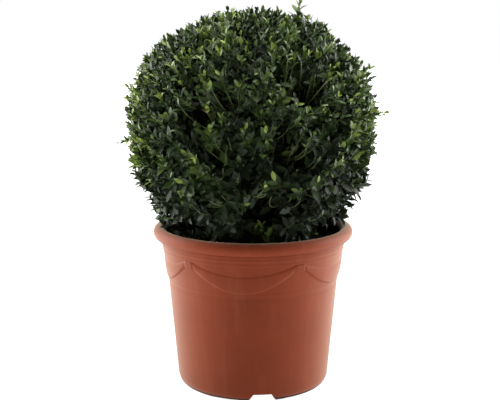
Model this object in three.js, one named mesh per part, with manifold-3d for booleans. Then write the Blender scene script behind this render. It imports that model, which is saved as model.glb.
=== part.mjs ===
// A clipped box ball in its moulded plastic pot.
// Units are millimetres and +Z is up. The origin is on the pot's axis, at the level of the ground.
// Azimuths are in degrees from the front, which faces -Y, and grow towards +X.

import * as THREE from 'three';
import { mergeVertices } from 'three/addons/utils/BufferGeometryUtils.js';
import Module from 'manifold-3d';

const wasm = await Module();
wasm.setup();

// ---------------------------------------------------------------- driving dimensions

// The pot: a foot ring under a rounded corner, a floor, a wall that flares more above its bend, and a
// rolled rim. These four are nodes of their own, with a hair's gap between them.
const SIDES = 42;                 // facets round the pot
const CLEARANCE = 0.3;            // between two nodes that meet
const WALL = 3;
const FOOT_OUTER = 115.5;
const FOOT_INNER = 108.5;
const CORNER = { radius: 129.2, z: 16 };
const BEND = { radius: 144, z: 180 };
const BRIM = { radius: 156.7, z: 252.3 };
const RIM = { radius: 159.5, z: 263, roll: 10.5 };
const FLOOR_UNDERSIDE = 15;
const FLOOR_RADIUS = 104;          // where the floor meets the foot ring
const FOOT_TOP = 20;               // where the foot ring meets the wall
const INNER_FILLET = 8;            // between the floor's top and the wall's inner face
const FOOT_TAPER = 1.5;            // draft of the foot ring's inner face
const BEADS = [235.3, 242.7];      // heights of the thin beads round the wall
const BEAD = { proud: 0.9, half: 1.8 };
const DRAIN = { count: 5, ring: 72, radius: 6, sides: 6 };

// The foot: four trapezoid gaps, and short pads that lift the ring between them off the ground.
const GAP = { count: 4, azimuth: 7, bottom: 45, top: 28, height: 14.5 };
const PAD_LIFT = 2.5;
const RELIEFS = { from: 18.5, to: 38.5 };  // degrees from a gap's middle, on both sides

// The festoon: a raised crescent panel in each fifth of the wall, with a small block between two panels.
const SWAG = { count: 5, azimuth: -6.9, halfSpan: 32.8, top: 216, topRise: 16.5, foot: 188, footRise: 36.5 };
const BLOCK = { halfSpan: 3, low: 221.5, high: 233 };
const RELIEF = { proud: 1.4, buried: 1.5, chamfer: 0.6, columns: 6 };

// The compost fills the pot to a little under the rim.
const COMPOST = { top: 244, edgeDip: 5, uneven: 1.6, waves: [17, 13], rings: 3, sides: 24 };

// The ball: clipped to an ellipsoid that is rounder above its middle than below it.
const BALL = { z: 450, radius: 214, rise: 190, fall: 254, detail: 7 };
const HEART = 105;                // from the ball's middle to the inner face of a mass
const BOUGH_REACH = 130;          // from the ball's middle to where a bough's tip would be, inside its mass
const SEAM = 3;                   // gap between two masses
const CLEFT = { depth: 0.07, width: 0.13 };  // a groove over a seam: part of the radius, and radians
const SWELLING = 0.03;            // the ball's unevenness, as a part of its radius
const UNDERSIDE = 284;            // a mass reaches no lower than this, unless it has a floor of its own
const HOLLOW = { azimuth: 9, z: 308, distance: 138, radii: [30, 92, 34] };
const ABOVE_RIM = 280;            // the low masses on the left hang down to just over the rim

// The trunk: short, slightly leaning, with a flared foot, up to the fork where the boughs part.
const TRUNK = {
  foot: 17,
  waist: 10.5,
  tip: 6,
  flareHeight: 18,
  fork: 318,
  lean: [7, -5],
  sides: 10,
  steps: 7,
};
const BOUGH = { radius: 4.6, tip: 2.4, sides: 6, steps: 3, climb: 0.55 };
const STEM = { radius: 2.6, tip: 1.5, sides: 5, steps: 2, climb: 0.35 };
const STEM_START = 253;           // height at which the low stems leave the trunk

// Masses of the crown, by the direction of each one's middle as seen from the ball's middle.
// start is the height at which the mass's bough leaves the trunk.
const MASSES = [
  { name: 'mass_top', azimuth: 0, elevation: 75, start: 310 },
  { name: 'mass_upper_front', azimuth: -5, elevation: 27, start: 300 },
  { name: 'mass_right', azimuth: 48, elevation: 6, start: 292 },
  { name: 'mass_left', azimuth: -45, elevation: 5, start: 290 },
  { name: 'mass_front', azimuth: 2, elevation: -8, start: 276 },
  { name: 'mass_low_right', azimuth: 38, elevation: -20, start: 264 },
  { name: 'mass_low_left', azimuth: -30, elevation: -20, start: 262, floor: ABOVE_RIM },
  { name: 'mass_back_right', azimuth: 108, elevation: 13, start: 298 },
  { name: 'mass_back', azimuth: 170, elevation: 18, start: 302 },
  { name: 'mass_back_left', azimuth: -108, elevation: 14, start: 295 },
  { name: 'mass_low_back_right', azimuth: 98, elevation: -24, start: 266 },
  { name: 'mass_low_back', azimuth: 165, elevation: -18, start: 270 },
  { name: 'mass_low_back_left', azimuth: -98, elevation: -23, start: 268, floor: ABOVE_RIM },
];

// Low tufts of leaves round the plant's foot, inside the rim.
const TUFTS = [
  { name: 'tuft_left', azimuth: -76, distance: 98, z: 266, radii: [30, 40, 17] },
  { name: 'tuft_front_left', azimuth: -27, distance: 100, z: 264, radii: [26, 38, 15] },
  { name: 'tuft_front', azimuth: 12, distance: 84, z: 266, radii: [24, 22, 17] },
  { name: 'tuft_right', azimuth: 48, distance: 96, z: 266, radii: [26, 32, 16] },
  { name: 'tuft_back_right', azimuth: 125, distance: 92, z: 265, radii: [28, 38, 16] },
  { name: 'tuft_back_left', azimuth: -145, distance: 94, z: 265, radii: [28, 40, 16] },
];

// Shoots that have outgrown the last clipping: they stand on a mass's surface.
const SHOOTS = [
  { name: 'shoot_top', azimuth: 62, elevation: 64, length: 28, radius: 5.5, tilt: [0.25, 0, 1] },
  { name: 'shoot_upper_right', azimuth: 61, elevation: 21, length: 24, radius: 6, tilt: [1, -0.5, 0.75] },
  { name: 'shoot_right', azimuth: 90, elevation: 3, length: 10, radius: 6, tilt: [1, -0.1, 0.3] },
  { name: 'shoot_left', azimuth: -82, elevation: -9, length: 15, radius: 6, tilt: [-1, -0.1, -0.2] },
];
const SHOOT_SIDES = 6;
const SHOOT_TIP = 0.6;
const SHOOT_WAIST = 1.35;         // how much fatter a shoot is half way up
const SHOOT_FOOT = 0.97;          // where a shoot starts, as a part of the ball's radius

// ---------------------------------------------------------------- materials

function finish(color, roughness) {
  return new THREE.MeshStandardMaterial({ color, roughness, metalness: 0 });
}

const POT_PLASTIC = finish(0x9c4a33, 0.45);
const PEAT = finish(0x2a1d14, 0.95);
const BARK = finish(0x6b5640, 0.85);
const GREEN_BARK = finish(0x6f7a3c, 0.7);
const LEAVES = finish(0x2f4a26, 0.55);
const YOUNG_LEAVES = finish(0x587a35, 0.5);

// ---------------------------------------------------------------- helpers

const radians = THREE.MathUtils.degToRad;

// A unit vector in a direction given by azimuth and elevation.
function towards(azimuth, elevation = 0) {
  const level = Math.cos(radians(elevation));
  const x = level * Math.sin(radians(azimuth));
  const y = -level * Math.cos(radians(azimuth));
  return new THREE.Vector3(x, y, Math.sin(radians(elevation)));
}

// A three.js geometry as a solid that can be joined and cut.
function solidOf(geometry) {
  const bare = new THREE.BufferGeometry();
  bare.setAttribute('position', geometry.getAttribute('position').clone());
  bare.setIndex(geometry.getIndex());
  const merged = mergeVertices(bare, 1e-4);
  const corners = merged.getIndex().array;
  const triVerts = [];
  for (let i = 0; i < corners.length; i += 3) {
    const [a, b, c] = corners.slice(i, i + 3);
    if (a !== b && b !== c && c !== a) triVerts.push(a, b, c);
  }
  const mesh = new wasm.Mesh({
    numProp: 3,
    vertProperties: Float32Array.from(merged.getAttribute('position').array),
    triVerts: Uint32Array.from(triVerts),
  });
  return new wasm.Manifold(mesh);
}

// A solid back as a three.js geometry.
function geometryOf(solid) {
  const { vertProperties, triVerts } = solid.getMesh();
  const geometry = new THREE.BufferGeometry();
  geometry.setAttribute('position', new THREE.BufferAttribute(vertProperties, 3));
  geometry.setIndex(new THREE.BufferAttribute(triVerts, 1));
  geometry.computeVertexNormals();
  return geometry;
}

// Moves every vertex of a geometry to where the function puts it.
function reshape(geometry, move) {
  const position = geometry.getAttribute('position');
  const point = new THREE.Vector3();
  for (let i = 0; i < position.count; i += 1) {
    point.fromBufferAttribute(position, i);
    const moved = move(point);
    position.setXYZ(i, moved.x, moved.y, moved.z);
  }
  return geometry;
}

function cutAll(solid, cutters) {
  return cutters.reduce((rest, cutter) => rest.subtract(cutter), solid);
}

// The largest of the pieces that a cut leaves.
function mainPiece(solid) {
  const pieces = solid.decompose();
  return pieces.reduce((best, piece) => (piece.volume() > best.volume() ? piece : best));
}

function node(name, solid, material) {
  const mesh = new THREE.Mesh(geometryOf(solid), material);
  mesh.name = name;
  return mesh;
}

// ---------------------------------------------------------------- pot

const AROUND = 12;                 // how far a cutter of the foot reaches past it
const BELOW = 2;                   // and below the ground

// Outer radius of the wall at a height above the rounded corner.
function wallRadius(z) {
  const [low, high] = z < BEND.z ? [CORNER, BEND] : [BEND, BRIM];
  return low.radius + (high.radius - low.radius) * (z - low.z) / (high.z - low.z);
}

// Points of an arc in the profile plane, from one angle to another in degrees.
function arc(centreX, centreZ, radiusX, radiusZ, from, to, steps) {
  return Array.from({ length: steps + 1 }, (_, i) => {
    const angle = radians(from + (to - from) * i / steps);
    return new THREE.Vector2(centreX + radiusX * Math.cos(angle), centreZ + radiusZ * Math.sin(angle));
  });
}

function potProfile() {
  const at = (x, z) => new THREE.Vector2(x, z);
  const beads = BEADS.flatMap((z) => [
    at(wallRadius(z - BEAD.half), z - BEAD.half),
    at(wallRadius(z) + BEAD.proud, z),
    at(wallRadius(z + BEAD.half), z + BEAD.half),
  ]);
  const corner = arc(FOOT_OUTER, CORNER.z, CORNER.radius - FOOT_OUTER, CORNER.z, -90, 0, 2);
  return [
    at(0, FLOOR_UNDERSIDE),
    at(FOOT_INNER - FOOT_TAPER, FLOOR_UNDERSIDE),
    at(FOOT_INNER, 0),
    ...corner,
    ...beads,
    at(BRIM.radius, BRIM.z),
    at(BRIM.radius - WALL, BRIM.z),
    at(wallRadius(BEND.z) - WALL, BEND.z),
    at(CORNER.radius - WALL, CORNER.z + INNER_FILLET),
    at(CORNER.radius - WALL - INNER_FILLET, CORNER.z + WALL),
    at(0, FLOOR_UNDERSIDE + WALL),
  ];
}

function rimSolid() {
  const foot = BRIM.z + CLEARANCE;
  const roll = arc(RIM.radius, RIM.z, RIM.roll, RIM.roll, -105, 240, 8);
  const inside = new THREE.Vector2(BRIM.radius - WALL, foot);
  const outside = new THREE.Vector2(BRIM.radius, foot);
  const ring = new THREE.LatheGeometry([inside, outside, ...roll, inside], SIDES);
  return solidOf(ring.rotateX(Math.PI / 2));
}

// A panel on the wall: columns across, bent round the pot, its edges given by two functions of t in -1..1.
function wallPanel(azimuth, halfSpan, columns, lower, upper) {
  const slab = new THREE.BoxGeometry(2, 1, 1, columns, 1, 1);
  return solidOf(reshape(slab, ({ x: t, y, z: depth }) => {
    const height = THREE.MathUtils.lerp(lower(t), upper(t), y + 0.5);
    const edge = depth > 0 ? RELIEF.proud : -RELIEF.buried;
    const inset = depth > 0 ? RELIEF.chamfer * Math.sign(y) : 0;
    const out = towards(azimuth + halfSpan * t).multiplyScalar(wallRadius(height) + edge);
    return out.setZ(height - inset);
  }));
}

function swagPanels() {
  const lower = (t) => SWAG.foot + SWAG.footRise * t * t;
  const upper = (t) => SWAG.top + SWAG.topRise * t * t;
  return Array.from({ length: SWAG.count }, (_, i) => {
    const azimuth = SWAG.azimuth + 360 * i / SWAG.count;
    const panel = wallPanel(azimuth, SWAG.halfSpan, RELIEF.columns, lower, upper);
    const middle = azimuth + 180 / SWAG.count;
    const block = wallPanel(middle, BLOCK.halfSpan, 1, () => BLOCK.low, () => BLOCK.high);
    return panel.add(block);
  });
}

// A radial cutter through the foot: a trapezoid that is wider at the ground, and runs a little below it.
function footGap(azimuth) {
  const half = GAP.bottom / 2 + (GAP.bottom - GAP.top) / 2 * BELOW / GAP.height;
  const outline = new THREE.Shape([
    new THREE.Vector2(-half, -BELOW),
    new THREE.Vector2(half, -BELOW),
    new THREE.Vector2(GAP.top / 2, GAP.height),
    new THREE.Vector2(-GAP.top / 2, GAP.height),
  ]);
  const from = FOOT_INNER - AROUND;
  const depth = CORNER.radius + AROUND - from;
  const cutter = new THREE.ExtrudeGeometry(outline, { depth, bevelEnabled: false });
  cutter.translate(0, 0, from);
  cutter.rotateX(Math.PI / 2);
  cutter.rotateZ(radians(azimuth));
  return solidOf(cutter);
}

// A shallow sector cutter that leaves the ring off the ground between two pads.
function footRelief(from, to) {
  const outline = new THREE.Shape();
  outline.absarc(0, 0, CORNER.radius + AROUND, radians(from - 90), radians(to - 90), false);
  outline.absarc(0, 0, FOOT_INNER - AROUND, radians(to - 90), radians(from - 90), true);
  const depth = PAD_LIFT + BELOW;
  const cutter = new THREE.ExtrudeGeometry(outline, { depth, bevelEnabled: false, curveSegments: 3 });
  cutter.translate(0, 0, -BELOW);
  return solidOf(cutter);
}

function drainHole(azimuth) {
  const hole = new THREE.CylinderGeometry(DRAIN.radius, DRAIN.radius, 4 * WALL, DRAIN.sides);
  hole.rotateX(Math.PI / 2);
  const place = towards(azimuth).multiplyScalar(DRAIN.ring);
  hole.translate(place.x, place.y, FLOOR_UNDERSIDE);
  return solidOf(hole);
}

function potShell() {
  const shell = new THREE.LatheGeometry(potProfile(), SIDES);
  shell.rotateX(Math.PI / 2);
  const whole = swagPanels().reduce((pot, panel) => pot.add(panel), solidOf(shell));
  const cutters = [];
  for (let i = 0; i < GAP.count; i += 1) {
    const middle = GAP.azimuth + 360 * i / GAP.count;
    cutters.push(footGap(middle));
    cutters.push(footRelief(middle + RELIEFS.from, middle + RELIEFS.to));
    cutters.push(footRelief(middle - RELIEFS.to, middle - RELIEFS.from));
  }
  for (let i = 0; i < DRAIN.count; i += 1) {
    cutters.push(drainHole(360 * (i + 0.5) / DRAIN.count));
  }
  return cutAll(whole, cutters);
}

// An upright round block on the pot's axis, from one height to another.
function drum(radius, low, high) {
  const block = new THREE.CylinderGeometry(radius, radius, high - low, SIDES);
  block.rotateX(Math.PI / 2);
  block.translate(0, 0, (low + high) / 2);
  return solidOf(block);
}

// The shell parted into its foot ring, floor and wall.
function potParts() {
  const shell = potShell();
  const wide = 2 * RIM.radius;
  const below = shell.subtract(drum(wide, FOOT_TOP, RIM.z));
  const foot = below.subtract(drum(FLOOR_RADIUS + CLEARANCE, 0, FOOT_TOP));
  const floor = shell.intersect(drum(FLOOR_RADIUS, 0, FOOT_TOP));
  const wall = shell.intersect(drum(wide, FOOT_TOP + CLEARANCE, RIM.z));
  return { pot_foot: foot, pot_floor: floor, pot_wall: wall };
}

// ---------------------------------------------------------------- compost

function compostSolid() {
  const inner = (z) => (wallRadius(z) - WALL - CLEARANCE) * Math.cos(Math.PI / COMPOST.sides);
  const floor = FLOOR_UNDERSIDE + WALL + CLEARANCE;
  const edge = COMPOST.top - COMPOST.edgeDip;
  const spare = 0.5;
  const profile = [
    new THREE.Vector2(0, floor),
    new THREE.Vector2(inner(CORNER.z) - INNER_FILLET - 2 * spare, floor + 2 * spare),
    new THREE.Vector2(inner(CORNER.z), CORNER.z + INNER_FILLET + 4 * spare),
    new THREE.Vector2(inner(BEND.z) - spare, BEND.z),
    new THREE.Vector2(inner(edge) - spare, edge),
  ];
  for (let i = 1; i <= COMPOST.rings; i += 1) {
    const share = i / COMPOST.rings;
    profile.push(new THREE.Vector2(inner(edge) * (1 - share), edge + COMPOST.edgeDip * Math.sqrt(share)));
  }
  const heap = new THREE.LatheGeometry(profile, COMPOST.sides);
  heap.rotateX(Math.PI / 2);
  const [wavesX, wavesY] = COMPOST.waves;
  reshape(heap, (point) => {
    const wave = Math.sin(point.x / wavesX) * Math.cos(point.y / wavesY);
    return point.setZ(point.z + (point.z > edge ? COMPOST.uneven * wave : 0));
  });
  return solidOf(heap);
}

// ---------------------------------------------------------------- crown

const BALL_MIDDLE = new THREE.Vector3(0, 0, BALL.z);
const DIRECTIONS = MASSES.map(({ azimuth, elevation }) => towards(azimuth, elevation));

// The point of the clipped surface in a direction from the ball's middle.
function onBall(way, scale = 1) {
  const height = way.z > 0 ? BALL.rise : BALL.fall;
  const level = Math.hypot(way.x, way.y) / BALL.radius;
  const reach = scale / Math.hypot(level, way.z / height);
  return BALL_MIDDLE.clone().addScaledVector(way, reach);
}

// How deep the surface lies below the clipped one, as a part of the radius: grooves over the seams, and
// swellings between them.
function dip(way) {
  const angles = DIRECTIONS.map((direction) => way.angleTo(direction)).sort((a, b) => a - b);
  const fromSeam = (angles[1] - angles[0]) / CLEFT.width;
  const wave = Math.sin(9.1 * way.x + 1.3) * Math.sin(8.3 * way.y + 2.1) * Math.sin(10.2 * way.z + 0.7);
  return CLEFT.depth * Math.exp(-fromSeam * fromSeam) + SWELLING * (0.5 + 0.5 * wave);
}

function ballSolid() {
  const skin = new THREE.IcosahedronGeometry(1, BALL.detail);
  return solidOf(reshape(skin, (way) => onBall(way, 1 - dip(way))));
}

// A block that holds all of the crown beyond a plane.
function beyond(point, normal) {
  const side = 4 * BALL.fall;
  const block = new THREE.BoxGeometry(side, side, side);
  block.translate(0, 0, side / 2);
  block.applyQuaternion(new THREE.Quaternion().setFromUnitVectors(new THREE.Vector3(0, 0, 1), normal));
  block.translate(point.x, point.y, point.z);
  return solidOf(block);
}

// One mass: the part of the ball nearer to this mass's direction than to any other's, outside the heart.
// spare widens it on all its cut sides.
function massSolid(ball, index, spare = 0) {
  const direction = DIRECTIONS[index];
  const walls = DIRECTIONS.filter((other) => other !== direction).map((other) => {
    const normal = other.clone().sub(direction).normalize();
    return beyond(BALL_MIDDLE.clone().addScaledVector(normal, spare - SEAM / 2), normal);
  });
  const floor = MASSES[index].floor ?? UNDERSIDE;
  const innerFace = BALL_MIDDLE.clone().addScaledVector(direction, HEART - spare);
  walls.push(beyond(innerFace, direction.clone().negate()));
  walls.push(beyond(new THREE.Vector3(0, 0, floor - spare), new THREE.Vector3(0, 0, -1)));
  return cutAll(ball, walls);
}

// A dark hollow under the front of the ball, through which the stems show.
function hollowSolid() {
  const [across, deep, high] = HOLLOW.radii;
  const hole = new THREE.IcosahedronGeometry(1, 2);
  hole.scale(across, deep, high);
  hole.rotateZ(radians(HOLLOW.azimuth));
  const place = towards(HOLLOW.azimuth).multiplyScalar(HOLLOW.distance);
  hole.translate(place.x, place.y, HOLLOW.z);
  return solidOf(hole);
}

// An uneven blob, for a tuft.
function tuftGeometry({ azimuth, distance, z, radii }) {
  const [deep, across, high] = radii;
  const place = towards(azimuth).multiplyScalar(distance).setZ(z);
  return reshape(new THREE.IcosahedronGeometry(1, 1), (way) => {
    const uneven = 1 - 0.1 * (1 + Math.sin(4.1 * way.x + place.x) * Math.cos(3.7 * way.y + place.y));
    return new THREE.Vector3(way.x * across, way.y * deep, way.z * high)
      .multiplyScalar(uneven)
      .applyAxisAngle(new THREE.Vector3(0, 0, 1), radians(azimuth))
      .add(place);
  });
}

// ---------------------------------------------------------------- limbs

// A tapering limb along a curve. Its foot and tip are cut square to the curve.
function limbGeometry(curve, radius, { sides, steps }) {
  const tube = new THREE.CylinderGeometry(1, 1, 1, sides, steps);
  const frames = curve.computeFrenetFrames(steps, false);
  return reshape(tube, ({ x, y, z }) => {
    const share = y + 0.5;
    const step = Math.round(share * steps);
    const across = frames.normals[step].clone().multiplyScalar(x);
    const beside = frames.binormals[step].clone().multiplyScalar(-z);
    return curve.getPointAt(share).addScaledVector(across.add(beside), radius(share));
  });
}

// Middle of the trunk at a height.
function trunkMiddle(z) {
  const share = (z - COMPOST.top) / (TRUNK.fork - COMPOST.top);
  return new THREE.Vector3(TRUNK.lean[0] * share, TRUNK.lean[1] * share * share, z);
}

function trunkGeometry(grow = 0) {
  const foot = COMPOST.top + COMPOST.uneven + CLEARANCE;
  const stem = new THREE.CylinderGeometry(1, 1, 1, TRUNK.sides, TRUNK.steps);
  stem.rotateX(Math.PI / 2);
  return reshape(stem, ({ x, y, z }) => {
    const share = z + 0.5;
    const height = foot + (TRUNK.fork - foot) * share;
    const flare = Math.exp(-3 * (height - foot) / TRUNK.flareHeight);
    const ribs = 1 + 0.16 * flare * Math.cos(5 * Math.atan2(y, x));
    const taper = TRUNK.waist + (TRUNK.tip - TRUNK.waist) * share;
    const radius = (taper + (TRUNK.foot - TRUNK.waist) * flare) * ribs + grow;
    const middle = trunkMiddle(height);
    return new THREE.Vector3(middle.x + x * radius, middle.y + y * radius, height);
  });
}

// A limb from the trunk to a target, climbing first and then leaning out.
function limbTo(target, start, { radius, tip, sides, steps, climb }, grow = 0) {
  const from = trunkMiddle(start);
  const elbow = from.clone().lerp(target, 0.45);
  elbow.z = THREE.MathUtils.lerp(from.z, target.z, climb);
  const curve = new THREE.QuadraticBezierCurve3(from, elbow, target);
  const taper = (share) => THREE.MathUtils.lerp(radius, tip, share) + grow;
  return limbGeometry(curve, taper, { sides, steps });
}

// ---------------------------------------------------------------- shoots

function shootGeometry({ azimuth, elevation, length, radius, tilt }) {
  const foot = onBall(towards(azimuth, elevation), SHOOT_FOOT);
  const spike = new THREE.CylinderGeometry(SHOOT_TIP, radius, length, SHOOT_SIDES, 2);
  spike.translate(0, length / 2, 0);
  reshape(spike, (point) => {
    const waist = Math.abs(point.y - length / 2) < 1 ? SHOOT_WAIST : 1;
    return point.set(point.x * waist, point.y, point.z * waist);
  });
  const up = new THREE.Vector3(0, 1, 0);
  const turn = new THREE.Quaternion().setFromUnitVectors(up, new THREE.Vector3(...tilt).normalize());
  spike.applyQuaternion(turn);
  spike.translate(foot.x, foot.y, foot.z);
  return spike;
}

// ---------------------------------------------------------------- assembly

const plant = new THREE.Group();
plant.name = 'box_ball_in_pot';
for (const [name, solid] of Object.entries(potParts())) {
  plant.add(node(name, solid, POT_PLASTIC));
}
plant.add(node('pot_rim', rimSolid(), POT_PLASTIC));
plant.add(node('compost', compostSolid(), PEAT));
plant.add(node('trunk', solidOf(trunkGeometry()), BARK));

const ball = ballSolid().subtract(hollowSolid());
const grownMasses = MASSES.map((_, index) => massSolid(ball, index, CLEARANCE));
MASSES.forEach(({ name }, index) => plant.add(node(name, mainPiece(massSolid(ball, index)), LEAVES)));

const grownTufts = [];
for (const tuft of TUFTS) {
  const solid = mainPiece(cutAll(solidOf(tuftGeometry(tuft)), grownMasses));
  plant.add(node(tuft.name, solid, LEAVES));
  const grown = { ...tuft, radii: tuft.radii.map((radius) => radius + 2 * CLEARANCE) };
  grownTufts.push(solidOf(tuftGeometry(grown)));
}

// Each limb is cut by the trunk, by what it grows into and by the limbs before it.
const cutters = [solidOf(trunkGeometry(2 * CLEARANCE)), ...grownMasses, ...grownTufts];

function addLimb(name, target, start, size) {
  const limb = mainPiece(cutAll(solidOf(limbTo(target, start, size)), cutters));
  plant.add(node(name, limb, BARK));
  cutters.push(solidOf(limbTo(target, start, size, 2 * CLEARANCE)));
}

MASSES.forEach(({ name, start }, index) => {
  const target = BALL_MIDDLE.clone().addScaledVector(DIRECTIONS[index], BOUGH_REACH);
  addLimb(name.replace('mass', 'bough'), target, start, BOUGH);
});
TUFTS.forEach(({ name, azimuth, distance, z }) => {
  const target = towards(azimuth).multiplyScalar(distance).setZ(z);
  addLimb(name.replace('tuft', 'stem'), target, STEM_START, STEM);
});

for (const shoot of SHOOTS) {
  const solid = mainPiece(cutAll(solidOf(shootGeometry(shoot)), grownMasses));
  plant.add(node(shoot.name, solid, YOUNG_LEAVES));
}

export default plant;
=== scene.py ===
"""A clipped box ball in its moulded plastic pot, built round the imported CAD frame.

Shapes are worked out in millimetres and scaled to metres when a mesh is made. Azimuths are in degrees from
the front (-Y) and grow towards +X.
"""

import math

import bmesh
import bpy
import numpy as np
from mathutils import Matrix, Vector, noise


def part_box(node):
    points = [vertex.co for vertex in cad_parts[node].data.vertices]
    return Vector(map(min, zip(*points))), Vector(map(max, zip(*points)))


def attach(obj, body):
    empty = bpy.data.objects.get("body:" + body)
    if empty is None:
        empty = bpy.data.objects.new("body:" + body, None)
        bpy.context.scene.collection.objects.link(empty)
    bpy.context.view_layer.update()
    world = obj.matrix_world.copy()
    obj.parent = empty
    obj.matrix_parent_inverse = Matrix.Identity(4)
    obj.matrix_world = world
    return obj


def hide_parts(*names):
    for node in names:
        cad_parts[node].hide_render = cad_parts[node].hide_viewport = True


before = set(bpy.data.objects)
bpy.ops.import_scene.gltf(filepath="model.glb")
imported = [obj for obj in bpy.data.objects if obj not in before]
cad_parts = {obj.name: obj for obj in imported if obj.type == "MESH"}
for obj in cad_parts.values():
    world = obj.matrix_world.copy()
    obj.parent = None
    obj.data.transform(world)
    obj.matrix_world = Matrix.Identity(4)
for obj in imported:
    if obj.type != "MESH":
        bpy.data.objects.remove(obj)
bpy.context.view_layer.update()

MM = 0.001
RNG = np.random.default_rng(41)


def box_mm(node):
    """A CAD node's lowest and highest corners, in millimetres."""
    low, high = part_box(node)
    return np.array(low) / MM, np.array(high) / MM


def towards(azimuth, elevation=0.0):
    """Unit vectors from azimuths and elevations in degrees."""
    azimuth, elevation = np.radians(azimuth), np.radians(elevation)
    level = np.cos(elevation)
    return np.stack(
        np.broadcast_arrays(level * np.sin(azimuth), -level * np.cos(azimuth), np.sin(elevation)), -1
    )


def unit(vectors):
    """The vectors, each brought to length 1."""
    return vectors / np.maximum(np.linalg.norm(vectors, axis=-1, keepdims=True), 1e-9)


# ---- meshes and pieces

def place(obj, materials, nodes=()):
    """Rides a finished piece on the plant's only body and dresses it."""
    for material in materials:
        obj.data.materials.append(material)
    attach(obj, "root")
    if nodes:
        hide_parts(*nodes)
    return obj


def object_from_bmesh(name, bm, smooth=True):
    """An object in metres from a bmesh in millimetres."""
    bmesh.ops.scale(bm, vec=(MM, MM, MM), verts=bm.verts)
    mesh = bpy.data.meshes.new(name)
    bm.to_mesh(mesh)
    bm.free()
    mesh.polygons.foreach_set("use_smooth", [smooth] * len(mesh.polygons))
    obj = bpy.data.objects.new(name, mesh)
    bpy.context.collection.objects.link(obj)
    return obj


def object_from_arrays(name, points, faces, smooth=True):
    """An object in metres from points in millimetres and face arrays, each n faces by k corners."""
    mesh = bpy.data.meshes.new(name)
    corners = np.concatenate([f.ravel() for f in faces])
    sizes = np.concatenate([np.full(len(f), f.shape[1]) for f in faces])
    mesh.vertices.add(len(points))
    mesh.vertices.foreach_set("co", (points * MM).astype(np.float32).ravel())
    mesh.loops.add(len(corners))
    mesh.loops.foreach_set("vertex_index", corners.astype(np.int32))
    mesh.polygons.add(len(sizes))
    mesh.polygons.foreach_set("loop_start", (np.cumsum(sizes) - sizes).astype(np.int32))
    mesh.polygons.foreach_set("use_smooth", np.full(len(sizes), smooth))
    mesh.update(calc_edges=True)
    obj = bpy.data.objects.new(name, mesh)
    bpy.context.collection.objects.link(obj)
    return obj


def tubes(paths, radii, sides):
    """Closed tapering tubes. paths is n by s by 3, radii n by s. Returns points and face arrays."""
    count, steps = radii.shape
    tangent = unit(np.gradient(paths, axis=1))
    aside = np.where(np.abs(tangent[:, :1, 2:]) > 0.8, [[[1.0, 0.0, 0.0]]], [[[0.0, 0.0, 1.0]]])
    across = unit(np.cross(tangent, np.broadcast_to(aside, tangent.shape)))
    beside = np.cross(tangent, across)
    turn = np.linspace(0, 2 * np.pi, sides, endpoint=False)
    ring = across[:, :, None] * np.cos(turn)[:, None] + beside[:, :, None] * np.sin(turn)[:, None]
    points = paths[:, :, None] + ring * radii[:, :, None, None]
    index = np.arange(count * steps * sides).reshape(count, steps, sides)
    after = np.roll(index, -1, axis=2)
    walls = np.stack([index[:, :-1], after[:, :-1], after[:, 1:], index[:, 1:]], -1).reshape(-1, 4)
    ends = np.concatenate([index[:, 0, ::-1], index[:, -1]])
    return points.reshape(-1, 3), [walls, ends]


def joined(parts):
    """Several (points, faces) as one."""
    points, faces, offset = [], [], 0
    for part_points, part_faces in parts:
        points.append(part_points)
        faces += [f + offset for f in part_faces]
        offset += len(part_points)
    return np.concatenate(points), faces


def curve_points(start, middle, end, steps):
    """Points along quadratic curves; start, middle and end are n by 3."""
    t = np.linspace(0, 1, steps)[None, :, None]
    return (1 - t) ** 2 * start[:, None] + 2 * t * (1 - t) * middle[:, None] + t * t * end[:, None]


# ---- materials

def new_material(name, color, roughness, specular=0.5):
    """A material and its Principled shader."""
    material = bpy.data.materials.new(name)
    material.use_nodes = True
    shader = material.node_tree.nodes["Principled BSDF"]
    shader.inputs["Base Color"].default_value = (*color, 1)
    shader.inputs["Roughness"].default_value = roughness
    shader.inputs["Specular IOR Level"].default_value = specular
    return material, shader


def add_node(material, kind, **settings):
    """A node, with its inputs and its settings filled in by name."""
    node = material.node_tree.nodes.new(kind)
    for key, value in settings.items():
        if key in node.inputs:
            node.inputs[key].default_value = value
        else:
            setattr(node, key, value)
    return node


def link(material, source, target):
    """Joins an output socket to an input socket."""
    material.node_tree.links.new(source, target)


def object_noise(material, scale, detail=4.0, stretch=(1, 1, 1)):
    """A noise pattern on object coordinates."""
    coordinates = add_node(material, "ShaderNodeTexCoord")
    mapping = add_node(material, "ShaderNodeMapping", Scale=stretch)
    pattern = add_node(material, "ShaderNodeTexNoise", Scale=scale, Detail=detail)
    link(material, coordinates.outputs["Object"], mapping.inputs["Vector"])
    link(material, mapping.outputs["Vector"], pattern.inputs["Vector"])
    return pattern


def ramp(material, source, stops):
    """A colour ramp over a pattern; stops are (position, colour)."""
    node = add_node(material, "ShaderNodeValToRGB")
    elements = node.color_ramp.elements
    while len(elements) < len(stops):
        elements.new(0.5)
    for element, (position, color) in zip(elements, stops):
        element.position = position
        element.color = (*color, 1)
    link(material, source, node.inputs["Fac"])
    return node


def bump(material, shader, source, strength, distance):
    """Roughens the shader's surface by a pattern, with the relief's height in metres."""
    node = add_node(material, "ShaderNodeBump", Strength=strength, Distance=distance)
    link(material, source, node.inputs["Height"])
    link(material, node.outputs["Normal"], shader.inputs["Normal"])


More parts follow.
